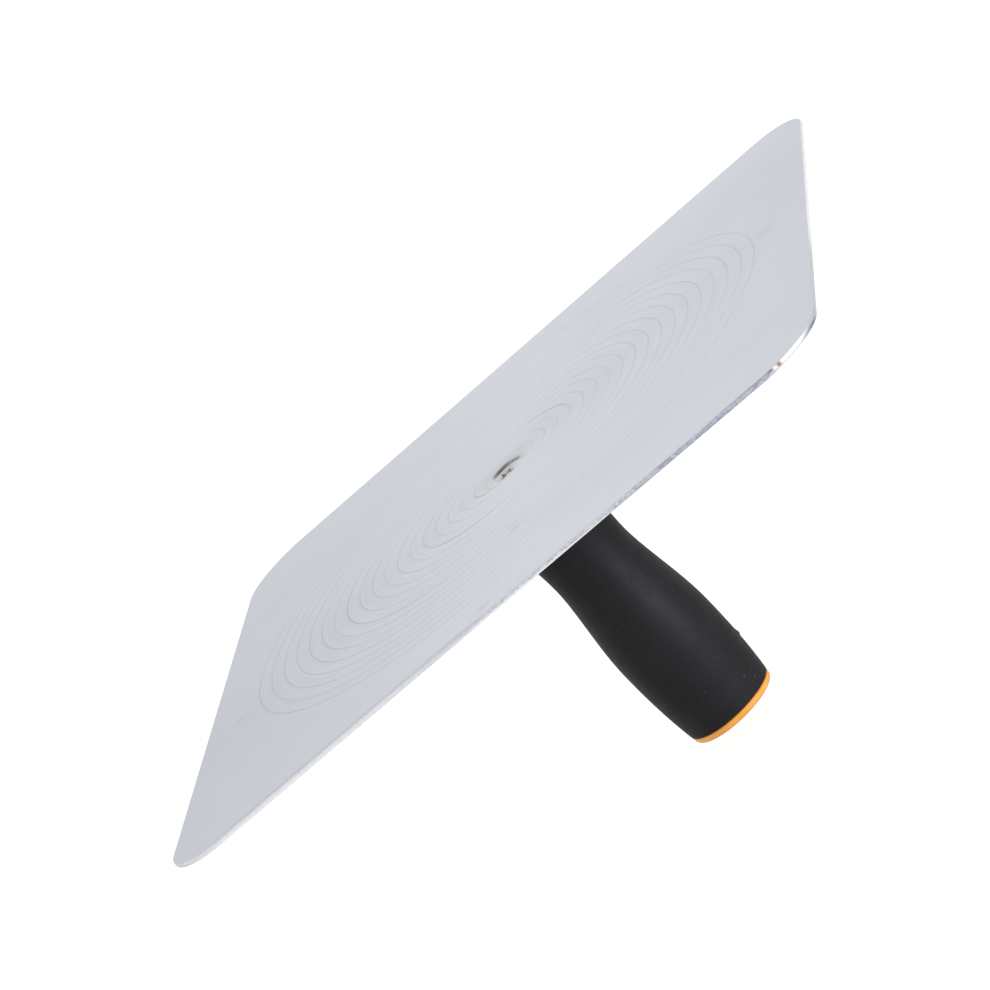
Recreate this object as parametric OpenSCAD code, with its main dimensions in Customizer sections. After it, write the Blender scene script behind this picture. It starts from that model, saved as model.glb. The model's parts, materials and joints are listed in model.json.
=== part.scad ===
// Plasterer's hawk: a square light-alloy board that carries wet plaster or
// mortar, with a soft-grip handle bolted square to the middle of its underside.
//
// Frame: the origin is the centre of the board's working face and +Z points
// out of that face, so the handle hangs down along -Z. Lengths are millimetres.
// "Drop" always means the distance below the working face.
// Name endings: _r radius, _t thickness, _w width, _d depth, _h height.

/* [Board] */
// Side of the square board
board_side = 300; // [290:1:330]
// Thickness of the alloy sheet
sheet_t = 2; // [1.6:0.1:2.4]
// Radius of the board's four corners
corner_r = 25.5; // [10:0.5:40]
// Number of turned key rings, counting the one at the dimple's rim
ring_count = 18; // [4:1:19]
// Spacing of the key rings, centre to centre
ring_pitch = 6.47; // [5:0.01:6.8]
// Width of one ring groove at the working face
groove_w = 0.8; // [0.4:0.1:1.2]
// Depth of one ring groove
groove_d = 0.1; // [0.08:0.02:0.3]
// Radius of the rim of the pressed dimple at the board's centre
dimple_r = 14.75; // [14:0.25:16]

/* [Grip] */
// Radius of the grip where it flares out under the board
top_r = 25; // [22.5:0.1:27]
// Radius at the waist, the narrowest place
waist_r = 17.4; // [16.6:0.1:19]
// Drop of the waist
waist_drop = 47.9; // [40:0.1:55]
// Radius at the belly, the widest place
belly_r = 21.27; // [20:0.01:23]
// Drop of the belly
belly_drop = 90.7; // [80:0.1:100]
// Radius at the lower end
end_r = 19.31; // [18.5:0.01:20]
// Drop of the grip's lower end, where the end cap starts
grip_drop = 125.25; // [115:0.05:135]
// Thickness of the soft sleeve over the core
sleeve_t = 3; // [2.2:0.1:3.2]

/* [Core and end cap] */
// Radius of the hollow that runs up the core from its lower end
bore_r = 11.8; // [11:0.1:12]
// Drop of the underside of the web that the nut pulls on
web_drop = 22; // [20:0.5:23]
// Height of the end cap's visible rim
cap_t = 3; // [2.8:0.05:5]
// Rounding of the end cap's lower edge
cap_round = 1.3; // [0.6:0.1:1.8]

/* [Screw] */
// Length of the M8 countersunk screw, head included
screw_len = 30; // [30, 35]
// Depth of the screw head's flat face below the working face
head_drop = 2; // [1.6:0.1:2.4]

/* [Hidden] */
$fn = 128;
root2 = sqrt(2);
overlap = 0.01;   // between cuts that meet
overshoot = 1;    // of a cut past the surface it opens
part_gap = 0.02;  // between neighbouring parts
fit_gap = 0.04;   // around the screw head and the cap's plug

// Distance from the centre to a corner of a hexagon
function hex_r(flats) = flats / 2 / cos(30);
// Points of an arc from the start angle to 0, in 15 degree steps
function arc(centre, radius, start) =
    [for (a = [start:-15 * sign(start):0]) centre + radius * [cos(a), sin(a)]];

// M8 countersunk screw, 90 degree head, and its nut and lock washer
shank_r = 4;
head_r = 8;
head_land = 0.5;
nut_flats = 13;
nut_h = 6.5;
nut_bore_r = shank_r + 0.05;
lock_t = 2;
lock_outer_r = 6.35;
lock_inner_r = 4.1;
lock_drop = web_drop + part_gap;
nut_drop = lock_drop + lock_t + part_gap;

// Pressed dimple: a soft dish that breaks into a 45 degree seat, whose rim
// stands outside and above the screw head
seat_r = head_r + 1.35;
dish_d = head_drop + head_land - (seat_r - head_r) + fit_gap;
hole_r = shank_r + 0.35;
dimple_t = 0.95 * sheet_t;
dish_steps = 10;
dish_power = 1.6;
// Heights of the seat's two faces at a radius
function seat_top(radius) = -dish_d - (seat_r - radius);
function seat_under(radius) = seat_top(radius) - dimple_t * root2;

// Upper face of the dimple as [radius, z], from the rim in to the screw hole
top_pts = [
    for (i = [0:dish_steps]) let (part = i / dish_steps)
        [dimple_r - (dimple_r - seat_r) * part, -dish_d * pow(part, dish_power)],
    [hole_r, seat_top(hole_r)]];

// Downward normal of a sheet whose section runs inwards between two points
function under_normal(outer, inner) =
    let (along = (inner - outer) / norm(inner - outer)) [-along[1], along[0]];
// Point i of a section's upper face, carried through to its lower face
function through_sheet(pts, i, thick) =
    let (before = i == 0 ? [0, -1] : under_normal(pts[i - 1], pts[i]),
         after = under_normal(pts[i], pts[i + 1]))
    pts[i] + thick * (before + after) / (1 + before * after);
under_pts = [for (i = [0:dish_steps]) through_sheet(top_pts, i, dimple_t)];

// Dished washer between the board's dimple and the core, and the core's seat
// below it: heights at a radius
dished_t = 1.2;
dished_inner_r = 4.7;
dished_outer_r = 9.2;
function dished_top(radius) = seat_under(radius) - part_gap * root2;
function core_seat(radius) = dished_top(radius) - (dished_t + part_gap) * root2;

// Core
core_drop = sheet_t + part_gap;
flange_r = top_r - 2.6;
flange_drop = 6;
flange_bevel = 0.3;
through_r = 4.5;
seat_mouth_r = dimple_r + 1.2;
seat_mouth_drop = sheet_t + 0.9;
seat_rim_r = dished_outer_r + 1.5;
pocket_r = hex_r(nut_flats + 0.2);
pocket_drop = web_drop + 9;
bore_top_bevel = 1;
bore_end_bevel = 0.5;

// Snap bead on the cap's plug and the groove it sits in
bead_drop = grip_drop - 5.6;
bead_h = 0.3;
// Bead section on a wall, from the bottom up; half heights at foot and crest
function bead(wall_r, rise, foot, crest) = [
    [wall_r, -bead_drop - foot],
    [wall_r + rise, -bead_drop - crest],
    [wall_r + rise, -bead_drop + crest],
    [wall_r, -bead_drop + foot]];

// Grip profile: flare, waist, belly and end, as a radius for each drop.
// The powers shape the curve of each stretch.
flare_drop = 3;
flare_power = 1.9;
belly_power = 0.907;
end_power = 2.34;
function blend(t) = t * t * (3 - 2 * t);
function grip_r(drop) =
    drop < waist_drop
        ? waist_r + (top_r - waist_r)
            * pow((waist_drop - drop) / (waist_drop - flare_drop), flare_power)
    : drop < belly_drop
        ? waist_r + (belly_r - waist_r)
            * blend(pow((drop - waist_drop) / (belly_drop - waist_drop), belly_power))
    : belly_r - (belly_r - end_r)
            * pow((drop - belly_drop) / (grip_drop - belly_drop), end_power);
grip_steps = 44;
grip_drops = [for (i = [0:grip_steps])
    flange_drop + (grip_drop - flange_drop) * i / grip_steps];
// Face between core and sleeve as [radius, z], from the flange down
core_side = [for (drop = grip_drops) [grip_r(drop) - sleeve_t, -drop]];

// Rounded lip at the top of the sleeve, and bevel at its lower end
lip_round = 1;
lip_drop = core_drop + 0.6;
lip_end = lip_drop + lip_round;
hem = 0.35;

// Thin square-edged sheet with round corners, top face at z = 0
module board_blank() {
    half = board_side / 2;
    corner = half - corner_r;
    translate([0, 0, -sheet_t]) union() {
        translate([-half, -corner, 0]) cube([2 * half, 2 * corner, sheet_t]);
        translate([-corner, -half, 0]) cube([2 * corner, 2 * half, sheet_t]);
        for (x = [-corner, corner], y = [-corner, corner])
            translate([x, y, 0]) cylinder(r = corner_r, h = sheet_t);
    }
}

// Cutter for one V-section ring, carried up past the working face
module key_ring(radius) {
    lift = 0.05;
    half_w = groove_w / 2 * (1 + lift / groove_d);
    rotate_extrude()
        polygon([[radius - half_w, lift], [radius, -groove_d], [radius + half_w, lift]]);
}

// Board with its dimple and key rings
module plate() {
    under_rim_r = under_pts[0][0];
    bowl_r = dimple_r + 0.4;
    hole_cut = 20;
    color([0.80, 0.82, 0.85])
    difference() {
        union() {
            board_blank();
            // sheet pushed down under the dimple, from mid-sheet so it joins
            rotate_extrude() polygon(concat(
                [[0, -sheet_t / 2], [under_rim_r, -sheet_t / 2],
                 [under_rim_r, -sheet_t]],
                [for (i = [1:dish_steps]) under_pts[i]],
                [[hole_r, seat_under(hole_r)], [0, seat_under(hole_r)]]));
        }
        // bowl of the dimple
        rotate_extrude() polygon(concat(
            [[0, overshoot], [bowl_r, overshoot], [bowl_r, 0]],
            top_pts,
            [[0, seat_top(hole_r)]]));
        // hole for the screw
        translate([0, 0, -hole_cut]) cylinder(r = hole_r, h = hole_cut);
        for (i = [0:ring_count - 1]) key_ring(dimple_r + ring_pitch * i);
    }
}

// Dished steel washer that carries the dimple on the plastic core
module seat_washer() {
    slant = dished_t / root2;
    inner = [dished_inner_r, dished_top(dished_inner_r)];
    outer = [dished_outer_r, dished_top(dished_outer_r)];
    color([0.66, 0.68, 0.70])
    rotate_extrude()
        polygon([inner, outer, outer + [slant, -slant], inner + [slant, -slant]]);
}

// Cross recess: two crossing slots that narrow towards their bottom
module cross_recess() {
    span = 8;
    wing = 1.7;
    deep = 3.6;
    bottom_r = 1;
    cut_h = deep + overshoot;
    translate([0, 0, -head_drop - deep]) intersection() {
        union() for (a = [0, 90]) rotate(a)
            translate([-span / 2, -wing / 2, 0]) cube([span, wing, cut_h]);
        cylinder(r1 = bottom_r, r2 = bottom_r + (span / 2 - bottom_r) * cut_h / deep,
                 h = cut_h);
    }
}

// Countersunk screw, head up
module centre_screw() {
    top = -head_drop;
    tip = top - screw_len;
    head_bevel = 0.15;
    tip_bevel = 0.9;
    color([0.80, 0.83, 0.79])
    difference() {
        rotate_extrude() polygon([
            [0, top], [head_r - head_bevel, top], [head_r, top - head_bevel],
            [head_r, top - head_land],
            [shank_r, top - head_land - (head_r - shank_r)],
            [shank_r, tip + tip_bevel], [shank_r - tip_bevel, tip], [0, tip]]);
        cross_recess();
    }
}

// Split spring washer, drawn flat as the tightened screw holds it
module spring_washer() {
    slit = 1.2;
    slit_angle = 35;
    slit_reach = 10;
    cut_h = lock_t + 2 * overshoot;
    color([0.60, 0.62, 0.65])
    translate([0, 0, -lock_drop - lock_t]) difference() {
        cylinder(r = lock_outer_r, h = lock_t);
        translate([0, 0, -overshoot]) cylinder(r = lock_inner_r, h = cut_h);
        rotate(slit_angle) translate([0, -slit / 2, -overshoot])
            cube([slit_reach, slit, cut_h]);
    }
}

// Hexagon nut with both faces bevelled at the corners
module hex_nut() {
    corner = hex_r(nut_flats);
    face_r = corner - 0.9;
    side_r = corner + 0.1;
    bevel = 0.5;
    color([0.72, 0.74, 0.72])
    translate([0, 0, -nut_drop - nut_h]) difference() {
        intersection() {
            cylinder(r = corner, h = nut_h, $fn = 6);
            rotate_extrude() polygon([
                [0, 0], [face_r, 0], [side_r, bevel],
                [side_r, nut_h - bevel], [face_r, nut_h], [0, nut_h]]);
        }
        translate([0, 0, -overshoot])
            cylinder(r = nut_bore_r, h = nut_h + 2 * overshoot);
    }
}

// Rigid plastic core: flange and seat on top, web with a pocket that holds the
// nut from turning, and a hollow below
module handle_core() {
    color([0.13, 0.13, 0.14])
    difference() {
        rotate_extrude() polygon(concat(
            [[0, -core_drop], [flange_r - flange_bevel, -core_drop],
             [flange_r, -core_drop - flange_bevel], [flange_r, -flange_drop]],
            core_side,
            [[0, -grip_drop]]));
        // seat for the dimple and its dished washer, and the screw's hole
        rotate_extrude() polygon([
            [0, 0], [seat_mouth_r, 0], [seat_mouth_r, -seat_mouth_drop],
            [seat_rim_r, core_seat(seat_rim_r)],
            [through_r, core_seat(through_r)],
            [through_r, -web_drop - overlap], [0, -web_drop - overlap]]);
        // pocket for the nut and lock washer
        translate([0, 0, -pocket_drop - overlap])
            cylinder(r = pocket_r, h = pocket_drop - web_drop + overlap, $fn = 6);
        // hollow, with a groove that the end cap's bead snaps into
        rotate_extrude() polygon(concat(
            [[0, -grip_drop - overshoot],
             [bore_r + bore_end_bevel, -grip_drop - overshoot],
             [bore_r + bore_end_bevel, -grip_drop],
             [bore_r, -grip_drop + bore_end_bevel]],
            bead(bore_r, rise = bead_h + part_gap, foot = 0.7, crest = 0.1),
            [[bore_r, -pocket_drop - bore_top_bevel],
             [bore_r - bore_top_bevel, -pocket_drop], [0, -pocket_drop]]));
    }
}

// Soft sleeve moulded over the core
module grip_sleeve() {
    lip_centre = [grip_r(lip_end) - lip_round, -lip_end];
    color([0.16, 0.16, 0.165])
    rotate_extrude() polygon(concat(
        [[flange_r, -flange_drop], [flange_r, -lip_drop]],
        arc(lip_centre, lip_round, start = 90),
        [for (i = [0:grip_steps - 1]) [grip_r(grip_drops[i]), -grip_drops[i]]],
        [[grip_r(grip_drop - hem), -grip_drop + hem], [end_r - hem, -grip_drop]],
        [for (i = [grip_steps:-1:0]) core_side[i]]));
}

// Snap-in end cap: a rounded disc on a hollow plug with a snap bead
module end_cap() {
    top = -grip_drop - part_gap;
    foot = -grip_drop - cap_t;
    floor_top = foot + 2.4;
    rim_r = end_r - 0.06;
    rim_bevel = 0.2;
    rim_taper = 0.14;  // inward for each millimetre down
    low_r = rim_r - rim_taper * (cap_t - cap_round);
    // shallow recess in the underside
    dish_r = 11.5;
    recess_d = 0.5;
    plug_r = bore_r - fit_gap;
    plug_inner_r = plug_r - 2;
    plug_top = -bead_drop + 3.2;
    color([0.95, 0.60, 0.20])
    rotate_extrude() polygon(concat(
        [[0, foot + recess_d], [dish_r - recess_d, foot + recess_d], [dish_r, foot]],
        arc([low_r - cap_round, foot + cap_round], cap_round, start = -90),
        [[rim_r, top - rim_bevel], [rim_r - rim_bevel, top], [plug_r, top]],
        bead(plug_r, rise = bead_h, foot = 0.65, crest = 0.08),
        [[plug_r, plug_top - 0.8], [plug_r - 0.6, plug_top],
         [plug_inner_r, plug_top], [plug_inner_r, floor_top], [0, floor_top]]));
}

plate();
seat_washer();
centre_screw();
spring_washer();
hex_nut();
handle_core();
grip_sleeve();
end_cap();
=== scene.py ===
"""Looks for a plasterer's hawk: alloy board, sunk screw, soft-grip handle and end cap.

The square board lies in XY, centred on the Z axis, with its working face at z = 0.
The handle hangs down -Z. Front is -Y and right is +X. Sizes are in mm unless noted.
"""

import json
import math
from functools import cached_property

import bmesh
import bpy
import numpy as np
from mathutils import Matrix, Vector


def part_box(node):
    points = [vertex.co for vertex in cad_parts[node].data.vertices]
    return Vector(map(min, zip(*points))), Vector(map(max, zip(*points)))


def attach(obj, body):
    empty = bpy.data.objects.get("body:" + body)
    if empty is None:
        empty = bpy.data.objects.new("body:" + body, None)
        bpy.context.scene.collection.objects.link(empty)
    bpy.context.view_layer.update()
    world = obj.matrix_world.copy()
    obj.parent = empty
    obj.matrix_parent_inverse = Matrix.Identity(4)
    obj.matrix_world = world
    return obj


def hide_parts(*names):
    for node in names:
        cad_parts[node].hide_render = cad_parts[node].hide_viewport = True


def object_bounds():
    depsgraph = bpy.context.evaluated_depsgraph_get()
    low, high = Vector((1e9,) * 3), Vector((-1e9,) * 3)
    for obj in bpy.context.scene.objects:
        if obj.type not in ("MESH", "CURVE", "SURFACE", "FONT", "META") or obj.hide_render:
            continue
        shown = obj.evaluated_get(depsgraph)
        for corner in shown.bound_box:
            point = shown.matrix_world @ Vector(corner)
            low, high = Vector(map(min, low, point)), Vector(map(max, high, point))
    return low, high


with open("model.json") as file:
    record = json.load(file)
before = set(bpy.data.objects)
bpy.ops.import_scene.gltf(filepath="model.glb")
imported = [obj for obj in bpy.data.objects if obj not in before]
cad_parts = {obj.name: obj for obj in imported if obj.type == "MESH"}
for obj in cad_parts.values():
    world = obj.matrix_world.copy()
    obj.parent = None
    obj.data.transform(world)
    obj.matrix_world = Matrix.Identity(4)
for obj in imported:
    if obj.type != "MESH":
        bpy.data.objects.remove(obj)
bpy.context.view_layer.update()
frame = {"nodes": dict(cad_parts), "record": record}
MM = 0.001
TAU = 2 * math.pi


def box_mm(node):
    return [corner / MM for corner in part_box(node)]


# ---------------------------------------------------------------- sizes
plate_lo, plate_hi = box_mm("plate")
sleeve_lo, sleeve_hi = box_mm("grip_sleeve")
cap_lo, cap_hi = box_mm("end_cap")
screw_lo, screw_hi = box_mm("centre_screw")
nut_lo, nut_hi = box_mm("hex_nut")
lock_lo, lock_hi = box_mm("spring_washer")
dish_hi = box_mm("seat_washer")[1]
core_hi = box_mm("handle_core")[1]

# board
HALF_SIDE = plate_hi.x
SHEET = 2.0                           # thickness
CORNER_R = 25.5
CORNER_AT = HALF_SIDE - CORNER_R      # x and y of the corner arcs' centres
RIM_R = 14.75                         # dimple rim and first key ring
RING_PITCH = 6.47
RINGS = 18
LAST_RING_R = RIM_R + RING_PITCH * (RINGS - 1)
GROOVE_W = 0.8
GROOVE_DEPTH = 0.10
SEAT_R = 9.35                         # 45 degree seat of the screw head
HOLE_R = 4.35
DISH_DEPTH = 1.19
DISH_POWER = 1.6
DIMPLE_SHEET = 1.9                    # thickness of the drawn dimple

# screw and nut: M8 coarse thread
THREAD_PITCH = 1.25
THREAD_R = 3.985
THREAD_DEPTH = 0.677
RECESS_TURN = 57.0                    # degrees

# grip: drops are measured down from the working face
GRIP_END = -sleeve_lo.z
TOP_R, TOP_DROP = 25.0, 3.0
WAIST_R, WAIST_DROP = 17.4, 47.9
BELLY_R, BELLY_DROP = 21.27, 90.7
END_R = 19.31
SLEEVE_WALL = 3.0
FLANGE_R = core_hi.x
FLANGE_DROP = 6.0


# ---------------------------------------------------------------- mesh code
def skin(name, loops, closed=False):
    """Mesh through a list of loops: each an (n, 3) array of a ring's points, or a single
    point for a pole. closed joins the last loop to the first."""
    verts, index = [], []
    for loop in loops:
        points = np.atleast_2d(np.asarray(loop, float))
        index.append(list(range(len(verts), len(verts) + len(points))))
        verts.extend(points.tolist())
    pairs = list(zip(index[:-1], index[1:]))
    if closed:
        pairs.append((index[-1], index[0]))
    faces = []
    for one, two in pairs:
        count = max(len(one), len(two))
        for k in range(count):
            m = (k + 1) % count
            if len(one) == 1:
                faces.append((one[0], two[m], two[k]))
            elif len(two) == 1:
                faces.append((one[k], one[m], two[0]))
            else:
                faces.append((one[k], one[m], two[m], two[k]))
    mesh = bpy.data.meshes.new(name)
    mesh.from_pydata([tuple(c * MM for c in vert) for vert in verts], [], faces)
    return finish_mesh(name, mesh)


def finish_mesh(name, mesh, sharp=33.0):
    """Outward normals, smooth shading broken at sharp edges, and an object in the scene."""
    bm = bmesh.new()
    bm.from_mesh(mesh)
    if bm.calc_volume(signed=True) < 0:
        bmesh.ops.reverse_faces(bm, faces=bm.faces)
    limit = math.radians(sharp)
    for face in bm.faces:
        face.smooth = True
    for edge in bm.edges:
        edge.smooth = not (len(edge.link_faces) == 2 and edge.calc_face_angle(0.0) > limit)
    bm.to_mesh(mesh)
    bm.free()
    return add_object(name, mesh)


def add_object(name, data):
    obj = bpy.data.objects.new(name, data)
    bpy.context.scene.collection.objects.link(obj)
    return obj


def ring_angles(count):
    return np.arange(count) / count * TAU


def polar(radius, angle, z):
    """Loop of points from radii and angles; radius and z may be single numbers."""
    return np.stack([radius * np.cos(angle), radius * np.sin(angle),
                     np.zeros(len(angle)) + z], 1)


def ring(radius, z, count):
    return polar(radius, ring_angles(count), float(z))


def wall(radius_at, z, count):
    """Level loop whose radius is a function of angle and height."""
    angle = ring_angles(count)
    return polar(radius_at(angle, np.full(count, float(z))), angle, float(z))


def pole(z):
    return np.array([[0.0, 0.0, z]])


def lathe(name, section, count):
    """Turned solid. section is a run of (r, z) points, from axis to axis, or a closed run
    if it never meets the axis."""
    loops = [pole(z) if r < 1e-6 else ring(r, z, count) for r, z in section]
    return skin(name, loops, closed=section[0][0] > 1e-6)


def sin_cos(degrees):
    return [(math.sin(math.radians(d)), math.cos(math.radians(d))) for d in degrees]


def fillet(section, radii, steps):
    """Run of (r, z) points with some corners rounded: radii maps a point's number to its
    radius."""
    out, count = [], len(section)
    for i, point in enumerate(section):
        radius = radii.get(i, 0.0)
        if radius <= 0:
            out.append(tuple(point))
            continue
        corner = np.array(point, float)
        back = np.array(section[(i - 1) % count], float) - corner
        ahead = np.array(section[(i + 1) % count], float) - corner
        back_len, ahead_len = np.linalg.norm(back), np.linalg.norm(ahead)
        back, ahead = back / back_len, ahead / ahead_len
        half = math.acos(max(-1.0, min(1.0, float(back @ ahead)))) / 2
        cut = min(radius / math.tan(half), 0.49 * back_len, 0.49 * ahead_len)
        radius = cut * math.tan(half)
        middle = (back + ahead) / np.linalg.norm(back + ahead)
        centre = corner + middle * (radius / math.sin(half))
        first, last = corner + back * cut - centre, corner + ahead * cut - centre
        turn = math.acos(max(-1.0, min(1.0, float(first @ last) / (radius * radius))))
        for step in range(steps + 1):
            t = step / steps
            spoke = math.sin((1 - t) * turn) * first + math.sin(t * turn) * last
            out.append(tuple(centre + spoke / math.sin(turn)))
    return out


# ---------------------------------------------------------------- board
def outline(inset, arc=20, edge=76):
    """Points of the board's outline, moved inwards, numbered the same at every inset.
    arc and edge are the segments in a corner and along a side."""
    at, radius = CORNER_AT, CORNER_R - inset
    points = []
    for quarter in range(4):
        turn = Matrix.Rotation(quarter * math.pi / 2, 2)
        angles = [k / arc * math.pi / 2 for k in range(arc + 1)]
        run = [(at + radius * math.cos(a), at + radius * math.sin(a)) for a in angles]
        run += [(at - 2 * at * k / edge, at + radius) for k in range(1, edge)]
        points += [tuple(turn @ Vector(p)) for p in run]
    return np.array(points)


edge_points = outline(0.0)
EDGE_ANGLE = np.arctan2(edge_points[:, 1], edge_points[:, 0])

# the turning tool bit unevenly round the board: how deep, for each point of a ring
bite = (0.62 + 0.16 * np.cos(2 * (EDGE_ANGLE - math.radians(38)))
        - 0.11 * np.cos(EDGE_ANGLE + math.radians(10)))
BITE = bite / bite.max() * 0.8


def board_ring(radius, z):
    return polar(radius, EDGE_ANGLE, z)


def board_edge(inset, z):
    points = outline(inset)
    return np.column_stack([points, np.full(len(points), z)])


def between(start, end, parts):
    return [start * (1 - t) + end * t for t in parts]


def dish(radius):
    """Height and slope of the dimple's soft dish."""
    k = max(0.0, (RIM_R - radius) / (RIM_R - SEAT_R))
    slope = DISH_DEPTH * DISH_POWER * k ** (DISH_POWER - 1) / (RIM_R - SEAT_R)
    return -DISH_DEPTH * k ** DISH_POWER, slope


def board_top(radius):
    """Height of the working face round a radius: screw seat, dish, key rings, flat."""
    if radius <= SEAT_R:
        return np.full(len(EDGE_ANGLE), -DISH_DEPTH - (SEAT_R - radius))
    z = np.full(len(EDGE_ANGLE), dish(radius)[0])
    number = round((radius - RIM_R) / RING_PITCH)
    off = radius - RIM_R - number * RING_PITCH
    if 0 <= number < RINGS and abs(off) < GROOVE_W / 2:
        z -= GROOVE_DEPTH * BITE * 0.5 * (1 + math.cos(TAU * off / GROOVE_W))
    return z


SHOULDER_INSETS = (1.9, 1.15)         # edge loops on the flats, before the rounded arris
SEAT_RADII = (HOLE_R, 4.6, 5.4, 6.4, 7.4, 8.3, 9.0, 9.27, 9.35, 9.45, 9.7, 10.2, 10.9,
              11.6, 12.3, 13.0, 13.6)
GROOVE_STATIONS = (-0.72, -0.5, -0.34, -0.17, 0, 0.17, 0.34, 0.5, 0.72)    # groove widths
UNDER_RADII = (92.0, 66.0, 44.0, 28.0, 19.0, 16.2, 15.2)
DIMPLE_RADII = (14.75, 14.2, 13.6, 13.0, 12.3, 11.6, 10.9, 10.2, 9.7, 9.35)


def face_loops():
    """Working face, from the hole out to the edge."""
    radii = list(SEAT_RADII)
    for i in range(RINGS):
        centre = RIM_R + RING_PITCH * i
        radii += [centre + GROOVE_W * k for k in GROOVE_STATIONS]
    loops = [board_ring(r, board_top(r)) for r in radii]
    inner = board_ring(radii[-1] + 1.6, 0.0)
    shoulder, outer = (board_edge(inset, 0.0) for inset in SHOULDER_INSETS)
    return loops + [inner] + between(inner, shoulder, (0.2, 0.42, 0.64, 0.84, 1.0)) + [outer]


def side_loops(top_round=0.45, foot_round=0.7):
    """Side of the sheet, with its rounded arrises."""
    loops = []
    for sin, cos in sin_cos(range(0, 91, 15)):
        loops.append(board_edge(top_round * (1 - sin), -top_round * (1 - cos)))
    for sin, cos in sin_cos(range(90, -1, -15)):
        loops.append(board_edge(foot_round * (1 - sin), -SHEET + foot_round * (1 - cos)))
    return loops


def underside_loops():
    """Underside from the edge in, then the dimple's outside and up the hole."""
    shoulder, outer = (board_edge(inset, -SHEET) for inset in SHOULDER_INSETS)
    inner = board_ring(118.0, -SHEET)
    loops = [outer] + between(shoulder, inner, (0.0, 0.25, 0.5, 0.75, 1.0))
    loops += [board_ring(r, -SHEET) for r in UNDER_RADII]
    # underside of the dimple: the working face moved through the sheet
    for r in DIMPLE_RADII:
        z, rise = dish(r)
        slope = math.atan(rise)
        thick = DIMPLE_SHEET + (SHEET - DIMPLE_SHEET) * max(0.0, (r - 12.0) / (RIM_R - 12.0))
        loops.append(board_ring(r + thick * math.sin(slope), z - thick * math.cos(slope)))
    for sin, cos in sin_cos((25.0, 31.0, 38.0, 45.0)):
        loops.append(board_ring(SEAT_R + DIMPLE_SHEET * sin, -DISH_DEPTH - DIMPLE_SHEET * cos))
    low = plate_lo.z
    loops.append(board_ring(HOLE_R + 2.2, low + 2.2))
    loops.append(board_ring(HOLE_R + 0.15, low + 0.15))
    loops.append(board_ring(HOLE_R, low + 0.3))
    loops.append(board_ring(HOLE_R, board_top(HOLE_R) - 0.25))
    return loops


def make_board():
    return skin("hawk_board", face_loops() + side_loops() + underside_loops(), closed=True)


# ---------------------------------------------------------------- screw and nut
# upper head: radius, drop below its top
HEAD_TOP = ((2.0, 0), (4.2, 0), (6.0, 0), (7.3, 0), (7.66, 0.02), (7.84, 0.08), (7.95, 0.19),
            (8.0, 0.32), (8.0, 0.44), (7.93, 0.57), (7.2, 1.3), (6.0, 2.5))
# lower head: radius, height above the start of the shank
HEAD_FOOT = ((4.9, 0.9), (4.3, 0.3), (4.05, 0.02), (3.9, -0.22))
# cross recess: height above the head's top, wing's reach, wing's half width
RECESS = ((0.6, 4.25, 1.30), (0.0, 4.0, 1.22), (-0.6, 3.62, 1.10), (-2.2, 2.35, 0.85),
          (-3.1, 1.75, 0.70))


def thread_r(angle, z):
    """Radius of the external thread at an angle and a height."""
    along = np.mod((z - THREAD_PITCH * angle / TAU) / THREAD_PITCH + 0.5, 1.0) - 0.5
    crest, root = 1 / 16, 1 / 8       # half widths, in pitches
    t = np.clip((np.abs(along) - crest) / (0.5 - crest - root), 0, 1)
    t = t * (0.92 + 0.08 * t)
    return THREAD_R - THREAD_DEPTH * t


def recess_loop(reach, half, z, curl=0.55):
    """Four-winged outline; curl softens its inner corners."""
    soft = half + 0.3 * curl
    wing = ((reach, -half), (reach, half), (half + curl, half), (soft, soft),
            (half, half + curl))
    points = []
    for quarter in range(4):
        cos, sin = math.cos(quarter * math.pi / 2), math.sin(quarter * math.pi / 2)
        points += [(x * cos - y * sin, x * sin + y * cos, z) for x, y in wing]
    return np.array(points)


def make_punch():
    """Tapered four-wing solid that cuts the cross recess."""
    top = screw_hi.z
    loops = [recess_loop(reach, half, top + rise) for rise, reach, half in RECESS]
    tool = skin("recess_punch", [pole(top + 0.6)] + loops + [pole(top - 3.9)])
    tool.rotation_euler = (0, 0, math.radians(RECESS_TURN))
    return tool


def make_screw():
    count = 96
    top, tip = screw_hi.z, screw_lo.z
    land = 0.5
    under = top - land - (screw_hi.x - 4.0)   # where the head meets the shank
    start = under - 0.5

    def shank(angle, z):
        fade = np.clip((start - z) / 0.9, 0, 1)
        radius = 3.62 + (thread_r(angle, z) - 3.62) * fade
        return np.minimum(radius, 3.1 + np.clip(z - tip, 0, None))

    loops = [pole(top)]
    loops += [ring(r, top - drop, count) for r, drop in HEAD_TOP]
    loops += [ring(r, under + rise, count) for r, rise in HEAD_FOOT]
    z = start
    while z > tip + 0.02:
        loops.append(wall(shank, z, count))
        z -= THREAD_PITCH / 12
    loops += [ring(3.05, tip + 0.01, count), ring(2.8, tip, count), pole(tip)]
    obj = skin("sunk_screw", loops)

    tool = make_punch()
    mod = obj.modifiers.new("recess", "BOOLEAN")
    mod.operation, mod.solver, mod.object = "DIFFERENCE", "EXACT", tool
    bpy.context.view_layer.update()
    depsgraph = bpy.context.evaluated_depsgraph_get()
    made = bpy.data.meshes.new_from_object(obj.evaluated_get(depsgraph))
    bpy.data.objects.remove(obj)
    bpy.data.objects.remove(tool)
    return finish_mesh("sunk_screw", made, sharp=30.0)


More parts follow.
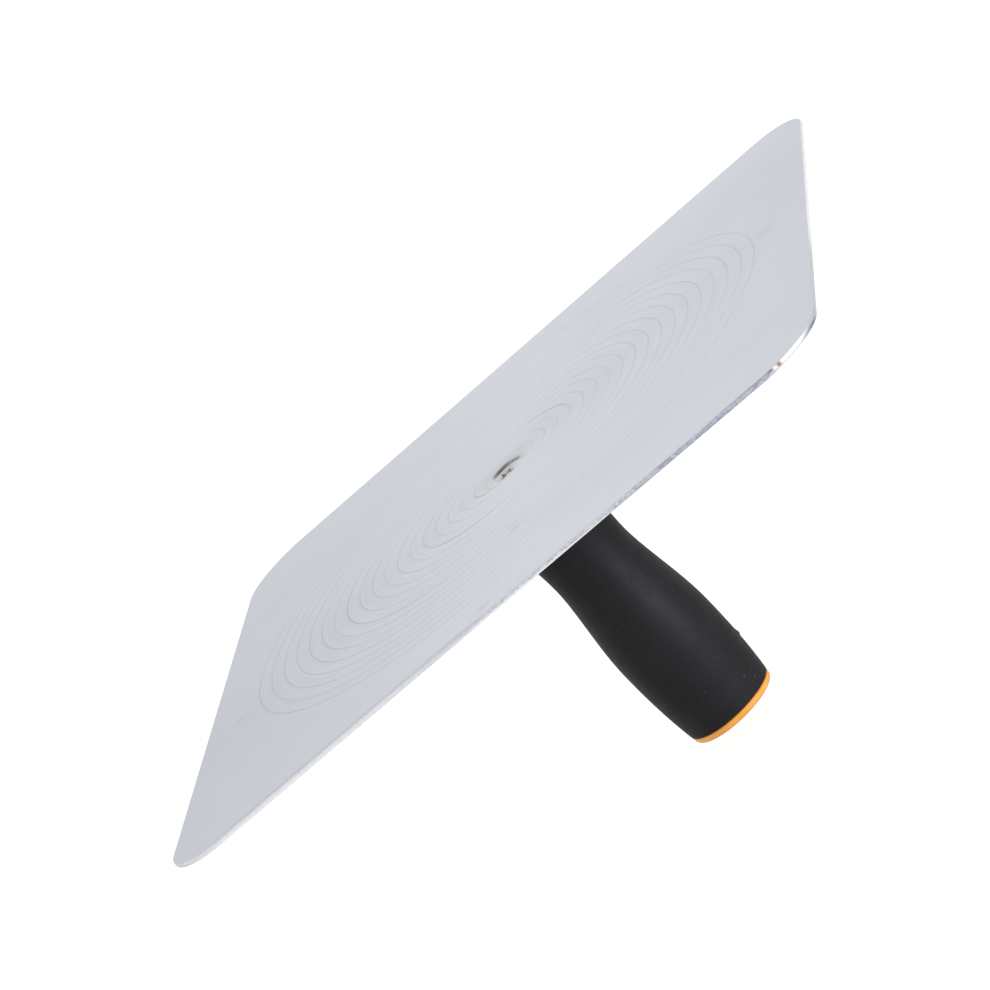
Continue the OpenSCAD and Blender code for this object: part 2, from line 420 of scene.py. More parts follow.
def make_nut():
    """Hexagon nut with chamfered corners and a threaded bore."""
    count = 144
    lo, hi = nut_lo.z, nut_hi.z
    flats = min(nut_hi.x, nut_hi.y) * 2
    corner = flats / 2 / math.cos(math.pi / 6)

    def outside(angle, z):
        hexagon = flats / 2 / np.cos(np.mod(angle, math.pi / 3) - math.pi / 6)
        return np.minimum(hexagon, corner - 0.85 + np.minimum(z - lo, hi - z) * 1.9)

    def inside(angle, z):
        return np.maximum(thread_r(angle, z) + 0.05, 4.25 - np.minimum(z - lo, hi - z))

    chamfer = [0.0, 0.08, 0.16, 0.24, 0.32, 0.40, 0.48, 0.6]
    heights = [lo + h for h in chamfer] + [lo + 1.5, (lo + hi) / 2, hi - 1.5]
    heights += [hi - h for h in reversed(chamfer)]
    loops = [wall(outside, z, count) for z in heights]
    steps = int((hi - lo) / (THREAD_PITCH / 10))
    loops += [wall(inside, hi - (hi - lo) * k / steps, count) for k in range(steps + 1)]
    return skin("captive_nut", loops, closed=True)


def make_lock_washer():
    """Split spring washer, swept round from one side of its slit to the other."""
    lo, hi = lock_lo.z, lock_hi.z
    inner, outer = 4.1, lock_hi.x
    section = [(inner, lo), (outer, lo), (outer, hi), (inner, hi)]
    section = fillet(section, {i: 0.22 for i in range(4)}, steps=3)
    half_slit = math.asin(0.6 / 5.2)
    slit_at = math.radians(35)
    loops = []
    for a in np.linspace(slit_at + half_slit, slit_at + TAU - half_slit, 110):
        loops.append(np.array([[r * math.cos(a), r * math.sin(a), z] for r, z in section]))
    ends = [np.array([loop.mean(0)]) for loop in (loops[0], loops[-1])]
    return skin("lock_washer", ends[:1] + loops + ends[1:])


def make_dished_washer():
    """45 degree cone of sheet 1.2 thick."""
    step = 1.2 / math.sqrt(2)
    inner, outer = 4.7, dish_hi.x - step
    top_in, top_out = dish_hi.z - (outer - inner), dish_hi.z
    section = [(inner, top_in), (inner + step, top_in - step),
               (outer + step, top_out - step), (outer, top_out)]
    section = fillet(section, {0: 0.2, 1: 0.25, 2: 0.25, 3: 0.2}, steps=3)
    return lathe("dished_washer", section, 128)


# ---------------------------------------------------------------- grip and cap
def grip_r(drop):
    """Radius of the grip at a drop below the working face."""
    if drop < WAIST_DROP:
        t = (WAIST_DROP - drop) / (WAIST_DROP - TOP_DROP)
        return WAIST_R + (TOP_R - WAIST_R) * t ** 1.9
    if drop < BELLY_DROP:
        t = ((drop - WAIST_DROP) / (BELLY_DROP - WAIST_DROP)) ** 0.907
        return WAIST_R + (BELLY_R - WAIST_R) * t * t * (3 - 2 * t)
    t = (drop - BELLY_DROP) / (GRIP_END - BELLY_DROP)
    return BELLY_R - (BELLY_R - END_R) * t ** 2.34


def grip_section():
    """Outside from the flange recess over the lip to the hem, then back up inside."""
    lip_drop = -sleeve_hi.z
    lip_end = lip_drop + 1.0
    lip_centre = grip_r(lip_end) - 1.0
    section = [(FLANGE_R, -FLANGE_DROP), (FLANGE_R, -lip_drop - 0.12),
               (FLANGE_R + 0.12, -lip_drop)]
    section += [(lip_centre + cos, -lip_end + sin) for sin, cos in sin_cos(range(90, -1, -10))]
    drop = lip_end + 1.0
    while drop < GRIP_END - 1.3:
        section.append((grip_r(drop), -drop))
        drop += 1.2
    hem = 0.45
    low = grip_r(GRIP_END - hem)
    for sin, cos in sin_cos(range(0, 91, 15)):
        section.append((low - hem * (1 - cos), -GRIP_END + hem - hem * sin))
    section.append((END_R - SLEEVE_WALL, -GRIP_END))
    steps = 44
    for i in range(steps - 2, -1, -2):
        drop = FLANGE_DROP + (GRIP_END - FLANGE_DROP) * i / steps
        section.append((grip_r(drop) - SLEEVE_WALL, -drop))
    return section


def make_grip():
    obj = lathe("soft_grip", grip_section(), 192)
    # a nib of flash low on the right
    turn, drop = math.radians(11), 107.6
    height, spread = 0.55 * MM, 1.0 * MM
    radius = grip_r(drop)
    spot = Vector((math.cos(turn) * radius, math.sin(turn) * radius, -drop)) * MM
    for vert in obj.data.vertices:
        out = Vector((vert.co.x, vert.co.y, 0)).normalized()
        vert.co += out * (height * math.exp(-((vert.co - spot).length / spread) ** 2))
    return obj


def make_cap():
    """Hollow end cap, with a beaded plug that stands up inside the grip."""
    top, foot = -GRIP_END - 0.02, cap_lo.z
    rim = cap_hi.x
    foot_round = 1.3
    foot_centre = rim - 0.14 * (top - foot - foot_round) - foot_round
    plug, plug_top = 11.76, cap_hi.z
    bead = -GRIP_END + 5.6
    section = [(0.0, foot + 0.5), (11.0, foot + 0.5), (11.5, foot), (foot_centre, foot)]
    section = fillet(section, {1: 0.25, 2: 0.25}, steps=3)
    for sin, cos in sin_cos(range(-80, 1, 10)):
        section.append((foot_centre + foot_round * cos, foot + foot_round + foot_round * sin))
    # outer rim: inset, drop below the joint
    rim_round = ((0.06, 0.45), (0.03, 0.3), (0.08, 0.14), (0.2, 0.04), (0.35, 0.0))
    section += [(rim - inset, top - drop) for inset, drop in rim_round]
    section.append((plug, top))
    # plug's bead: how far it stands out, height from the bead's middle
    bead_round = ((0, -0.65), (0.26, -0.14), (0.3, 0), (0.26, 0.14), (0, 0.65), (0, 2.4),
                  (-0.25, 2.9))
    section += [(plug + out, bead + rise) for out, rise in bead_round]
    section += [(plug - 0.6, plug_top), (plug - 1.7, plug_top), (plug - 2.0, plug_top - 0.3),
                (plug - 2.0, foot + 3.0), (plug - 2.6, foot + 2.4), (0.0, foot + 2.4)]
    return lathe("butt_cap", section, 192)


# ---------------------------------------------------------------- material nodes
class Signal:
    """A node's output, with arithmetic that makes Math nodes."""

    def __init__(self, nodes, socket):
        self.nodes, self.socket = nodes, socket

    def __add__(self, other):
        return self.nodes.math("ADD", self, other)

    def __radd__(self, other):
        return self.nodes.math("ADD", other, self)

    def __sub__(self, other):
        return self.nodes.math("SUBTRACT", self, other)

    def __rsub__(self, other):
        return self.nodes.math("SUBTRACT", other, self)

    def __mul__(self, other):
        return self.nodes.math("MULTIPLY", self, other)

    def __truediv__(self, other):
        return self.nodes.math("DIVIDE", self, other)


SHADER_INPUTS = {
    "colour": "Base Color", "metal": "Metallic", "rough": "Roughness", "normal": "Normal",
    "spec": "Specular IOR Level", "aniso": "Anisotropic", "sheen": "Sheen Weight",
    "sheen_rough": "Sheen Roughness", "sheen_tint": "Sheen Tint",
    "sss": "Subsurface Weight", "sss_scale": "Subsurface Scale"}


class Nodes:
    """A small way to write a material's nodes as expressions. Places are in mm."""

    def __init__(self, name):
        self.material = bpy.data.materials.new(name)
        self.tree = tree_of(self.material)
        out = self.tree.nodes.new("ShaderNodeOutputMaterial")
        self.shader = self.tree.nodes.new("ShaderNodeBsdfPrincipled")
        self.tree.links.new(self.shader.outputs[0], out.inputs[0])
        coord = self.tree.nodes.new("ShaderNodeTexCoord")
        self.place = self.scaled(Signal(self, coord.outputs["Object"]), 1 / MM)

    @cached_property
    def axes(self):
        return self.split("ShaderNodeSeparateXYZ", self.place)

    x = property(lambda self: self.axes[0])
    y = property(lambda self: self.axes[1])
    z = property(lambda self: self.axes[2])

    @cached_property
    def radius(self):
        return self.math("SQRT", self.x * self.x + self.y * self.y)

    @cached_property
    def outward(self):
        """x and y of the direction out from the axis."""
        return self.x / (self.radius + 0.01), self.y / (self.radius + 0.01)

    @cached_property
    def normal_z(self):
        geometry = self.tree.nodes.new("ShaderNodeNewGeometry")
        normal = Signal(self, geometry.outputs["Normal"])
        return self.split("ShaderNodeSeparateXYZ", normal)[2]

    def toward(self, degrees):
        """1 on the side of the axis at this angle from +X, falling to -1 opposite."""
        angle = math.radians(degrees)
        return self.outward[0] * math.cos(angle) + self.outward[1] * math.sin(angle)

    def link(self, value, socket):
        if isinstance(value, Signal):
            self.tree.links.new(value.socket, socket)
        elif isinstance(value, tuple) and socket.type == "RGBA":
            socket.default_value = (*value, 1.0)
        else:
            socket.default_value = value

    def split(self, kind, value):
        node = self.tree.nodes.new(kind)
        self.link(value, node.inputs[0])
        return [Signal(self, out) for out in node.outputs]

    def math(self, operation, a, b=0.0, c=0.0):
        node = self.tree.nodes.new("ShaderNodeMath")
        node.operation = operation
        for socket, value in zip(node.inputs, (a, b, c)):
            self.link(value, socket)
        return Signal(self, node.outputs[0])

    def vector(self, operation, a, b=(0.0, 0.0, 0.0), output="Vector"):
        node = self.tree.nodes.new("ShaderNodeVectorMath")
        node.operation = operation
        self.link(a, node.inputs[0])
        self.link(b, node.inputs[1])
        return Signal(self, node.outputs[output])

    def scaled(self, vector, factor):
        """A vector or a colour times a factor."""
        out = self.vector("SCALE", vector)
        self.link(factor, out.socket.node.inputs["Scale"])
        return out

    def distance(self, point):
        return self.vector("DISTANCE", self.place, point, output="Value")

    def layered(self, scale, layer):
        """The place, scaled, and shifted along Z by layer."""
        return self.vector("ADD", self.scaled(self.place, scale),
                           self.scaled((0.0, 0.0, 1.0), layer))

    def stretch(self, scale, spin=0.0, move=(0.0, 0.0, 0.0)):
        node = self.tree.nodes.new("ShaderNodeMapping")
        self.link(self.place, node.inputs["Vector"])
        node.inputs["Scale"].default_value = scale
        node.inputs["Rotation"].default_value = (0, 0, spin)
        node.inputs["Location"].default_value = move
        return Signal(self, node.outputs[0])

    def noise(self, vector, scale=1.0, detail=3.0, rough=0.6):
        node = self.tree.nodes.new("ShaderNodeTexNoise")
        self.link(vector, node.inputs["Vector"])
        node.inputs["Scale"].default_value = scale
        node.inputs["Detail"].default_value = detail
        node.inputs["Roughness"].default_value = rough
        return Signal(self, node.outputs["Fac"])

    def cells(self, scale):
        """Distance and random colour of Voronoi cells."""
        node = self.tree.nodes.new("ShaderNodeTexVoronoi")
        self.link(self.place, node.inputs["Vector"])
        node.inputs["Scale"].default_value = scale
        return [Signal(self, node.outputs[key]) for key in ("Distance", "Color")]

    def step(self, value, start, end, to=(0.0, 1.0)):
        """Smooth step of value from start to end, giving to[0] to to[1]."""
        node = self.tree.nodes.new("ShaderNodeMapRange")
        node.interpolation_type = "SMOOTHSTEP"
        for socket, item in zip(node.inputs, (value, start, end, *to)):
            self.link(item, socket)
        return Signal(self, node.outputs[0])

    def mix(self, factor, a, b):
        node = self.tree.nodes.new("ShaderNodeMix")
        node.data_type = "RGBA"
        for number, value in ((0, factor), (6, a), (7, b)):
            self.link(value, node.inputs[number])
        return Signal(self, node.outputs[2])

    def zones(self, value, colour, changes):
        """colour, then for each (start, end, next colour) a smooth change to the next."""
        for start, end, following in changes:
            colour = self.mix(self.step(value, start, end), colour, following)
        return colour

    def bump(self, height, distance, strength):
        node = self.tree.nodes.new("ShaderNodeBump")
        node.inputs["Strength"].default_value = strength
        node.inputs["Distance"].default_value = distance * MM
        self.link(height, node.inputs["Height"])
        return Signal(self, node.outputs[0])

    def set(self, **values):
        for key, value in values.items():
            self.link(value, self.shader.inputs[SHADER_INPUTS[key]])


def tree_of(block):
    """Emptied node tree of a material or world."""
    block.use_nodes = True
    block.node_tree.nodes.clear()
    return block.node_tree


# ---------------------------------------------------------------- alloy sheet
SHEET_COLOUR = (0.630, 0.660, 0.713)
SHADOW = (0.16, 0.17, 0.20)
BROWN = (0.36, 0.25, 0.19)

# colours of the board's sheared and rubbed sides, partly their own finish, partly painted
# light: the bright ones are painted highlights, the darkest a painted dark reflection
PALE_LIT = (0.705, 0.705, 0.745)
SATIN_LIT = (0.552, 0.570, 0.618)
DULL_SHADED = (0.400, 0.430, 0.500)
DARK_REFLECTION = (0.240, 0.255, 0.290)
CORNER_HIGHLIGHT = (0.930, 0.935, 0.950)
WHITE_HIGHLIGHT = (0.99, 0.99, 0.99)

# first colour, then changes (start, end, colour) along the front and right sides; painted
# highlights and a painted dark reflection among them
UPPER_SIDE = (0.86, 0.86, 0.89), (
    (-142, -126, PALE_LIT), (-60, 0, SATIN_LIT), (54, 82, DULL_SHADED), (127.2, 129.6, DARK_REFLECTION),
    (130.6, 131.8, CORNER_HIGHLIGHT), (144, 154, SATIN_LIT), (165, 172, (0.64, 0.65, 0.69)),
    (225, 268, WHITE_HIGHLIGHT))
LOWER_SIDE = (0.85, 0.845, 0.87), (
    (-90, -20, PALE_LIT), (-20, 30, SATIN_LIT), (44, 86, DULL_SHADED), (127, 131, SATIN_LIT),
    (131, 136, CORNER_HIGHLIGHT), (142.5, 150, DULL_SHADED), (149, 154, DARK_REFLECTION), (156, 163, SATIN_LIT),
    (163, 169, (0.70, 0.70, 0.73)), (225, 268, WHITE_HIGHLIGHT))

# arcs of rings with deeper painted shade: ring number, middle and half spread in degrees,
# added depth
DARK_ARCS = ((0, 255, 58, 0.16), (3, 52, 34, 0.30), (4, 250, 36, 0.30), (10, 200, 60, 0.10),
             (10, 0, 40, 0.04), (12, 0, 24, 0.04), (13, 200, 60, 0.08), (13, 0, 40, 0.05),
             (6, 180, 30, 0.04))
# handling marks: x, y, half length, half width, spin in radians, strength
MARKS = ((130.2, 16.0, 3.8, 2.0, 0.5, 0.15), (-131.4, -31.8, 3.4, 2.0, 0.3, 0.17),
         (0.6, -141.6, 4.6, 2.4, 0.2, 0.15), (11.4, -84.0, 3.2, 2.4, 0.2, 0.12))


def sheet_tone(mat, grain, hair, mottle):
    """Brightness of the flat sheet."""
    cloud = mat.noise(mat.stretch((0.010, 0.016, 0.0)), rough=0.55)
    tone = (mat.step(cloud, 0.30, 0.70, to=(0.975, 1.020))
            + mat.step(grain, 0.25, 0.75, to=(-0.016, 0.016))
            + mat.step(hair, 0.2, 0.8, to=(-0.010, 0.010))
            + mat.step(mottle, 0.3, 0.7, to=(-0.010, 0.010)))
    # painted shade: the middle is a little brighter than the left and right ends
    tone = tone * mat.step(mat.x, -150.0, 20.0, to=(0.898, 1.005))
    tone = tone * mat.step(mat.x, 70.0, 165.0, to=(1.0, 0.955))
    # faint turning marks between the rings, patchy along their run
    tool = mat.noise(mat.layered(0.010, mat.radius * 0.85), rough=0.75)
    turned = mat.step(mat.radius, 14.9, 16.5) * mat.step(mat.radius, 128.0, 118.0)
    return tone + mat.step(tool, 0.30, 0.70, to=(-0.034, 0.034)) * turned


def ring_grooves(mat):
    """Number of the nearest key ring, and a mask of the grooves."""
    position = (mat.radius - RIM_R) / RING_PITCH
    nearest = mat.math("ROUND", position)
    off = mat.math("ABSOLUTE", position - nearest) * RING_PITCH
    inside = (mat.step(mat.radius, RIM_R - 0.8, RIM_R - 0.5)
              * mat.step(mat.radius, LAST_RING_R + 0.9, LAST_RING_R + 0.6))
    groove = mat.step(off, GROOVE_W * 0.60, GROOVE_W * 0.20) * inside
    return nearest, groove * mat.step(mat.z, -0.45, -0.25)


def groove_shade(mat, nearest):
    """Painted shade in the groove roots: how dark, uneven round each ring and from ring to
    ring.
    """
    per_ring = mat.noise(mat.layered(0.012, nearest * 3.7), detail=1.0, rough=0.5)
    shade = mat.step(per_ring, 0.32, 0.68, to=(0.03, 0.13))
    along = mat.math("ABSOLUTE", mat.toward(25))
    shade = shade * mat.step(along, 0.1, 1.0, to=(0.35, 1.0))
    shade = shade + mat.step(mat.toward(278), 0.55, 0.95, to=(0.0, 0.035))
    shade = shade * mat.step(mat.toward(8), 0.70, 1.0, to=(1.0, 0.35))
    shade = shade * mat.step(mat.toward(190), 0.80, 1.0, to=(1.0, 0.60))
    for number, degrees, spread, amount in DARK_ARCS:
        this = mat.math("COMPARE", nearest, float(number), 0.5)
        start, full = (math.cos(math.radians(a)) for a in (spread, spread * 0.45))
        shade = shade + this * mat.step(mat.toward(degrees), start, full, to=(0.0, amount))
    return shade


def handling_marks(mat):
    """Mask of the faint oval marks on the face."""
    marks = 0.0
    for x, y, half_length, half_width, spin, amount in MARKS:
        cos, sin = math.cos(spin), math.sin(spin)
        away_x, away_y = mat.x - x, mat.y - y
        along = (away_x * cos + away_y * sin) / half_length
        across = (away_y * cos - away_x * sin) / half_width
        reach = mat.math("SQRT", along * along + across * across)
        marks = marks + mat.step(reach, 1.5, 0.2, to=(0.0, amount))
    patchy = mat.noise(mat.stretch((0.3, 0.5, 1.0)), detail=4.0, rough=0.7)
    rub = mat.step(patchy, 0.25, 0.65, to=(0.35, 1.0))
    return marks * rub * mat.step(mat.z, -0.3, -0.1)


def shade_dimple(mat, colour):
    """Warm bloom on the dish, and painted shade in the seat behind the screw head."""
    bloom = mat.step(mat.radius, 14.6, 10.0) * mat.step(mat.z, -2.4, -1.4)
    colour = mat.mix(bloom * 0.55, colour, (0.64, 0.61, 0.575))
    # painted shade: the seat's wall behind the screw head is darkened to near black
    seat = mat.step(mat.radius, 9.25, 8.85) * mat.step(mat.z, -1.0, -1.3)
    seat_shade = (mat.step(mat.toward(90), 0.60, 0.95, to=(0.0, 0.20))
              + mat.step(mat.toward(124), 0.93, 0.99, to=(0.0, 0.34))
              + mat.step(mat.toward(58), 0.90, 0.98, to=(0.0, 0.36)))
    return mat.mix(seat * seat_shade, colour, (0.03, 0.03, 0.045))


def side_mask(mat):
    """Mask of the sheared sides; it reaches further over the arris on the right."""
    right = mat.step(mat.y, -90.0, -10.0) * mat.step(mat.x, 120.0, 140.0)
    side = mat.step(mat.normal_z + right * 0.30, 0.975, 0.90)
    side = side * mat.step(mat.radius, 120.0, 124.0)
    return side * mat.step(mat.normal_z, -0.95, -0.80)


def side_run(mat, wander):
    """Distance along the front side, round the right front corner, then along the right."""
    swing = mat.math("ARCTAN2", mat.math("MINIMUM", mat.y + CORNER_AT, 0.0),
                     mat.math("MAXIMUM", mat.x - CORNER_AT, 0.0))
    run = mat.math("MINIMUM", mat.x, CORNER_AT) + (swing + math.pi / 2) * CORNER_R
    run = run + mat.math("MAXIMUM", mat.y + CORNER_AT, 0.0)
    return run + mat.step(wander, 0.2, 0.8, to=(-1.0, 1.0))


def side_colour(mat, run, wander, speck):
    upper = mat.zones(run, *UPPER_SIDE)
    lower = mat.zones(run, *LOWER_SIDE)
    # the line between upper and lower drops for a short run on the corner
    shift = mat.step(run, 147.0, 152.0) * mat.step(run, 163.0, 158.0)
    line = mat.z + mat.step(wander, 0.3, 0.7, to=(-0.15, 0.15)) - shift * 0.28
    colour = mat.mix(mat.step(line, -0.75, -1.25), upper, lower)
    # left and back sides
    left = mat.step(mat.x, -140.0, -147.0) * mat.step(mat.y, -138.0, -126.0)
    far = mat.math("MAXIMUM", left, mat.step(mat.y, 128.0, 147.0))
    cloud = mat.noise(mat.stretch((0.02, 0.02, 0.0), move=(4, 9, 0)), detail=2.0, rough=0.5)
    plain = mat.mix(mat.step(cloud, 0.35, 0.65), (0.66, 0.65, 0.68), (0.55, 0.56, 0.60))
    colour = mat.mix(far, colour, plain)
    # specks, strongest on the dull run
    dull = mat.step(run, -20.0, 30.0) * mat.step(run, 131.5, 129.5)
    contrast = mat.step(speck, 0.35, 0.65, to=(-1.0, 0.8)) * (0.035 + dull * 0.25)
    colour = mat.scaled(colour, 1.0 + contrast)
    # the upper arris of the front is painted pale as a highlight, and turns to painted shade
    # towards the right corner
    front = (mat.step(mat.y, -140.0, -146.0)
             * (mat.step(mat.x, -20.0, 12.0) * mat.step(mat.x, 131.0, 127.0)))
    crest = mat.step(mat.normal_z, 0.45, 0.68) * front
    arris_light_and_shade = mat.mix(mat.step(run, 98.0, 118.0), (0.68, 0.69, 0.74), (0.30, 0.32, 0.37))
    return mat.mix(crest, colour, arris_light_and_shade)


def paint_sides(mat, colour, side):
    """Lays the sides' colours, with their painted highlights and reflections, and their small
    marks over the sheet's colour.
    """
    wander = mat.noise(mat.stretch((0.25, 0.25, 0.25)))
    speck = mat.noise(mat.stretch((0.75, 0.75, 1.6)), rough=0.7)
    run = side_run(mat, wander)
    colour = mat.mix(side, colour, side_colour(mat, run, wander, speck))
    # painted highlight along the lower arris on part of the front
    lower_arris_highlight = (mat.step(mat.z, -1.22, -1.42) * side
             * (mat.step(run, 64.0, 50.0) * mat.step(run, -20.0, 8.0)))
    colour = mat.mix(lower_arris_highlight * 0.85, colour, (0.93, 0.93, 0.94))
    # brown nick by the right front corner, with a darker heart
    nick = (mat.distance((133.5, -148.3, -0.75))
            + mat.step(speck, 0.3, 0.7, to=(-0.35, 0.35)))
    colour = mat.mix(mat.step(nick, 1.5, 0.9, to=(0.0, 0.55)), colour, (0.42, 0.31, 0.23))
    colour = mat.mix(mat.step(nick, 0.85, 0.45, to=(0.0, 0.9)), colour, (0.20, 0.11, 0.07))
    # thin grey foot under the bright run
    foot = (mat.step(mat.z, -1.12, -1.42) * side
            * (mat.step(run, 131.5, 136.0) * mat.step(run, 152.0, 148.0)))
    return mat.mix(foot * 0.45, colour, (0.50, 0.51, 0.56))


def alloy_sheet():
    """Rolled aluminium: straight grain along X, turned rings with painted shade in their
    roots, faint handling marks, sheared sides with painted highlights and reflections."""
    mat = Nodes("alloy_sheet")
    grain = mat.noise(mat.stretch((0.035, 1.1, 1.0)), detail=4.0, rough=0.65)
    hair = mat.noise(mat.stretch((0.012, 3.4, 1.0), move=(31, 7, 0)), detail=2.0)
    mottle = mat.noise(mat.place, scale=0.35, detail=4.0)
    colour = mat.scaled(SHEET_COLOUR, sheet_tone(mat, grain, hair, mottle))
    nearest, groove = ring_grooves(mat)
    colour = mat.mix(groove * groove_shade(mat, nearest), colour, SHADOW)
    # painted shade: the front left part of the dimple's rim is darker
    lip = mat.step(mat.radius, 14.95, 14.6) * mat.step(mat.radius, 13.2, 14.0)
    lip = lip * mat.step(mat.toward(246), 0.50, 0.95, to=(0.0, 0.22))
    colour = mat.mix(lip, colour, SHADOW)
    marks = handling_marks(mat)
    colour = mat.mix(marks, colour, BROWN)
    colour = shade_dimple(mat, colour)
    side = side_mask(mat)
    colour = paint_sides(mat, colour, side)
    # thin dark line on the face along the left run of the front edge
    line = mat.step(mat.y, -149.7, -149.1) * mat.step(mat.y, -147.0, -147.7)
    line = (line * mat.step(mat.z, -0.3, -0.1)
            * (mat.step(mat.x, 4.0, -14.0) * mat.step(mat.x, -140.0, -112.0)))
    colour = mat.mix(line * 0.20, colour, (0.20, 0.20, 0.22))
    rough = (mat.step(grain, 0.25, 0.75, to=(0.30, 0.38))
             + marks * 0.5 + groove * 0.12 + side * 0.15)
    height = grain * 0.6 + hair * 0.4 + mottle * 0.25
    mat.set(colour=colour, metal=1.0 - side * 0.90, spec=0.3, rough=rough, aniso=0.25,
            normal=mat.bump(height, distance=0.012, strength=0.35))
    return mat.material


# ---------------------------------------------------------------- other materials
def bare_steel(name, base, tint, rough):
    """Plated or bare steel: fine scratches and a slightly cloudy colour."""
    mat = Nodes(name)
    cloud = mat.noise(mat.place, scale=0.45)
    pits = mat.noise(mat.place, scale=5.0, detail=4.0, rough=0.7)
    scratch = mat.noise(mat.stretch((6.0, 0.5, 0.5), spin=0.6), rough=0.7)
    colour = mat.mix(mat.step(cloud, 0.35, 0.65), base, tint)
    colour = mat.scaled(colour, mat.step(pits, 0.3, 0.7, to=(0.90, 1.04)))
    mat.set(colour=colour, metal=1.0, rough=mat.step(pits, 0.3, 0.7, to=(rough, rough + 0.14)),
            normal=mat.bump(pits * 0.6 + scratch * 0.4, distance=0.02, strength=0.5))
    return mat.material


# dirt spots by the screw head's rim: x, y, size
DIRT_SPOTS = ((-5.4, -5.3, 0.75), (5.4, 4.9, 0.6), (7.3, -1.8, 0.6))


def screw_zinc():
    """Bright zinc with a painted highlight round its rim, dirt, and painted shade with a
    painted yellow glint down in the cross recess.
    """
    mat = Nodes("screw_zinc")
    top = screw_hi.z
    cloud = mat.noise(mat.place, scale=0.55)
    pits = mat.noise(mat.place, scale=6.0, detail=4.0, rough=0.7)
    colour = mat.mix(mat.step(cloud, 0.35, 0.65), (0.67, 0.70, 0.695), (0.74, 0.765, 0.745))
    colour = mat.scaled(colour, mat.step(pits, 0.3, 0.7, to=(0.94, 1.03)))
    # cross recess: painted shade down in it, with patches of painted yellow glint
    deep = mat.step(mat.z, top - 0.08, top - 0.75) * mat.step(mat.radius, 5.0, 4.6)
    deep = deep * mat.step(mat.z, top - 4.2, top - 4.0)
    patch = mat.step(mat.noise(mat.place, scale=1.35, rough=0.75), 0.40, 0.54)
    recess_shade_and_glint = mat.mix(patch, (0.085, 0.085, 0.08), (0.66, 0.61, 0.45))
    colour = mat.mix(deep, colour, recess_shade_and_glint)
    # painted highlight: a near-white, non-metal band round the head's rounded rim
    rim_highlight = mat.step(mat.radius, 7.6, 7.8) * mat.step(mat.z, top - 0.6, top - 0.4)
    colour = mat.mix(rim_highlight * 0.85, colour, (0.95, 0.95, 0.96))
    # dirt round the recess and at three places further out
    patches = mat.noise(mat.place, scale=1.7, rough=0.7)
    dirt = (mat.step(mat.radius, 5.6, 4.4)
            * mat.step(patches, 0.50, 0.58, to=(0.0, 0.72)))
    for x, y, size in DIRT_SPOTS:
        spot = mat.step(mat.distance((x, y, top)), size * 1.3, size * 0.6, to=(0.0, 0.6))
        dirt = mat.math("MAXIMUM", dirt, spot)
    dirt = dirt * mat.step(mat.z, top - 0.5, top - 0.3)
    colour = mat.mix(dirt, colour, (0.21, 0.19, 0.13))
    mat.set(colour=colour, metal=1.0 - rim_highlight * 0.8,
            rough=mat.step(pits, 0.3, 0.7, to=(0.30, 0.45)),
            normal=mat.bump(pits, distance=0.02, strength=0.5))
    return mat.material


def grip_rubber():
    """Soft-touch moulding: fine matte grain, slight cloudiness, a few dust specks."""
    mat = Nodes("grip_rubber")
    grain = mat.noise(mat.place, scale=2.2, rough=0.65)
    fine = mat.noise(mat.place, scale=9.0, detail=2.0)
    blotch = mat.noise(mat.place, rough=0.7)
    cloud = mat.noise(mat.place, scale=0.05, rough=0.55)
    colour = mat.mix(mat.step(cloud, 0.3, 0.7), (0.0090, 0.0088, 0.0099),
                     (0.0120, 0.0118, 0.0132))
    colour = mat.scaled(colour, mat.step(blotch, 0.3, 0.7, to=(0.82, 1.18)))
    # dust: rare pale specks, more of them low down
    away, random = mat.cells(scale=0.45)
    chance, size, strength = mat.split("ShaderNodeSeparateColor", random)
    rare = mat.math("GREATER_THAN", chance, mat.step(mat.z, -122.0, -85.0, to=(0.70, 0.96)))
    dust = mat.math("LESS_THAN", away, size * 0.16) * rare
    colour = mat.mix(dust * (strength * 0.8), colour, (0.30, 0.29, 0.27))
    uneven = mat.noise(mat.place, scale=0.13)
    rough = (mat.step(fine, 0.3, 0.7, to=(0.44, 0.52))
             + mat.step(uneven, 0.3, 0.7, to=(0.0, 0.09)))
    mat.set(colour=colour, metal=0.0, rough=rough, spec=0.26,
            sheen=0.03, sheen_rough=0.35, sheen_tint=(0.8, 0.8, 0.85),
            normal=mat.bump(grain * 0.5 + fine * 0.5, distance=0.06, strength=0.6))
    return mat.material


def core_plastic():
    """Near-black moulding with faint flow along the handle."""
    mat = Nodes("core_plastic")
    grain = mat.noise(mat.place, scale=1.4, detail=4.0, rough=0.65)
    flow = mat.noise(mat.stretch((0.10, 0.10, 0.02)))
    colour = mat.mix(mat.step(flow, 0.35, 0.65), (0.016, 0.016, 0.018), (0.024, 0.024, 0.026))
    mat.set(colour=colour, metal=0.0, rough=mat.step(grain, 0.3, 0.7, to=(0.38, 0.50)),
            spec=0.45, normal=mat.bump(grain, distance=0.04, strength=0.5))
    return mat.material


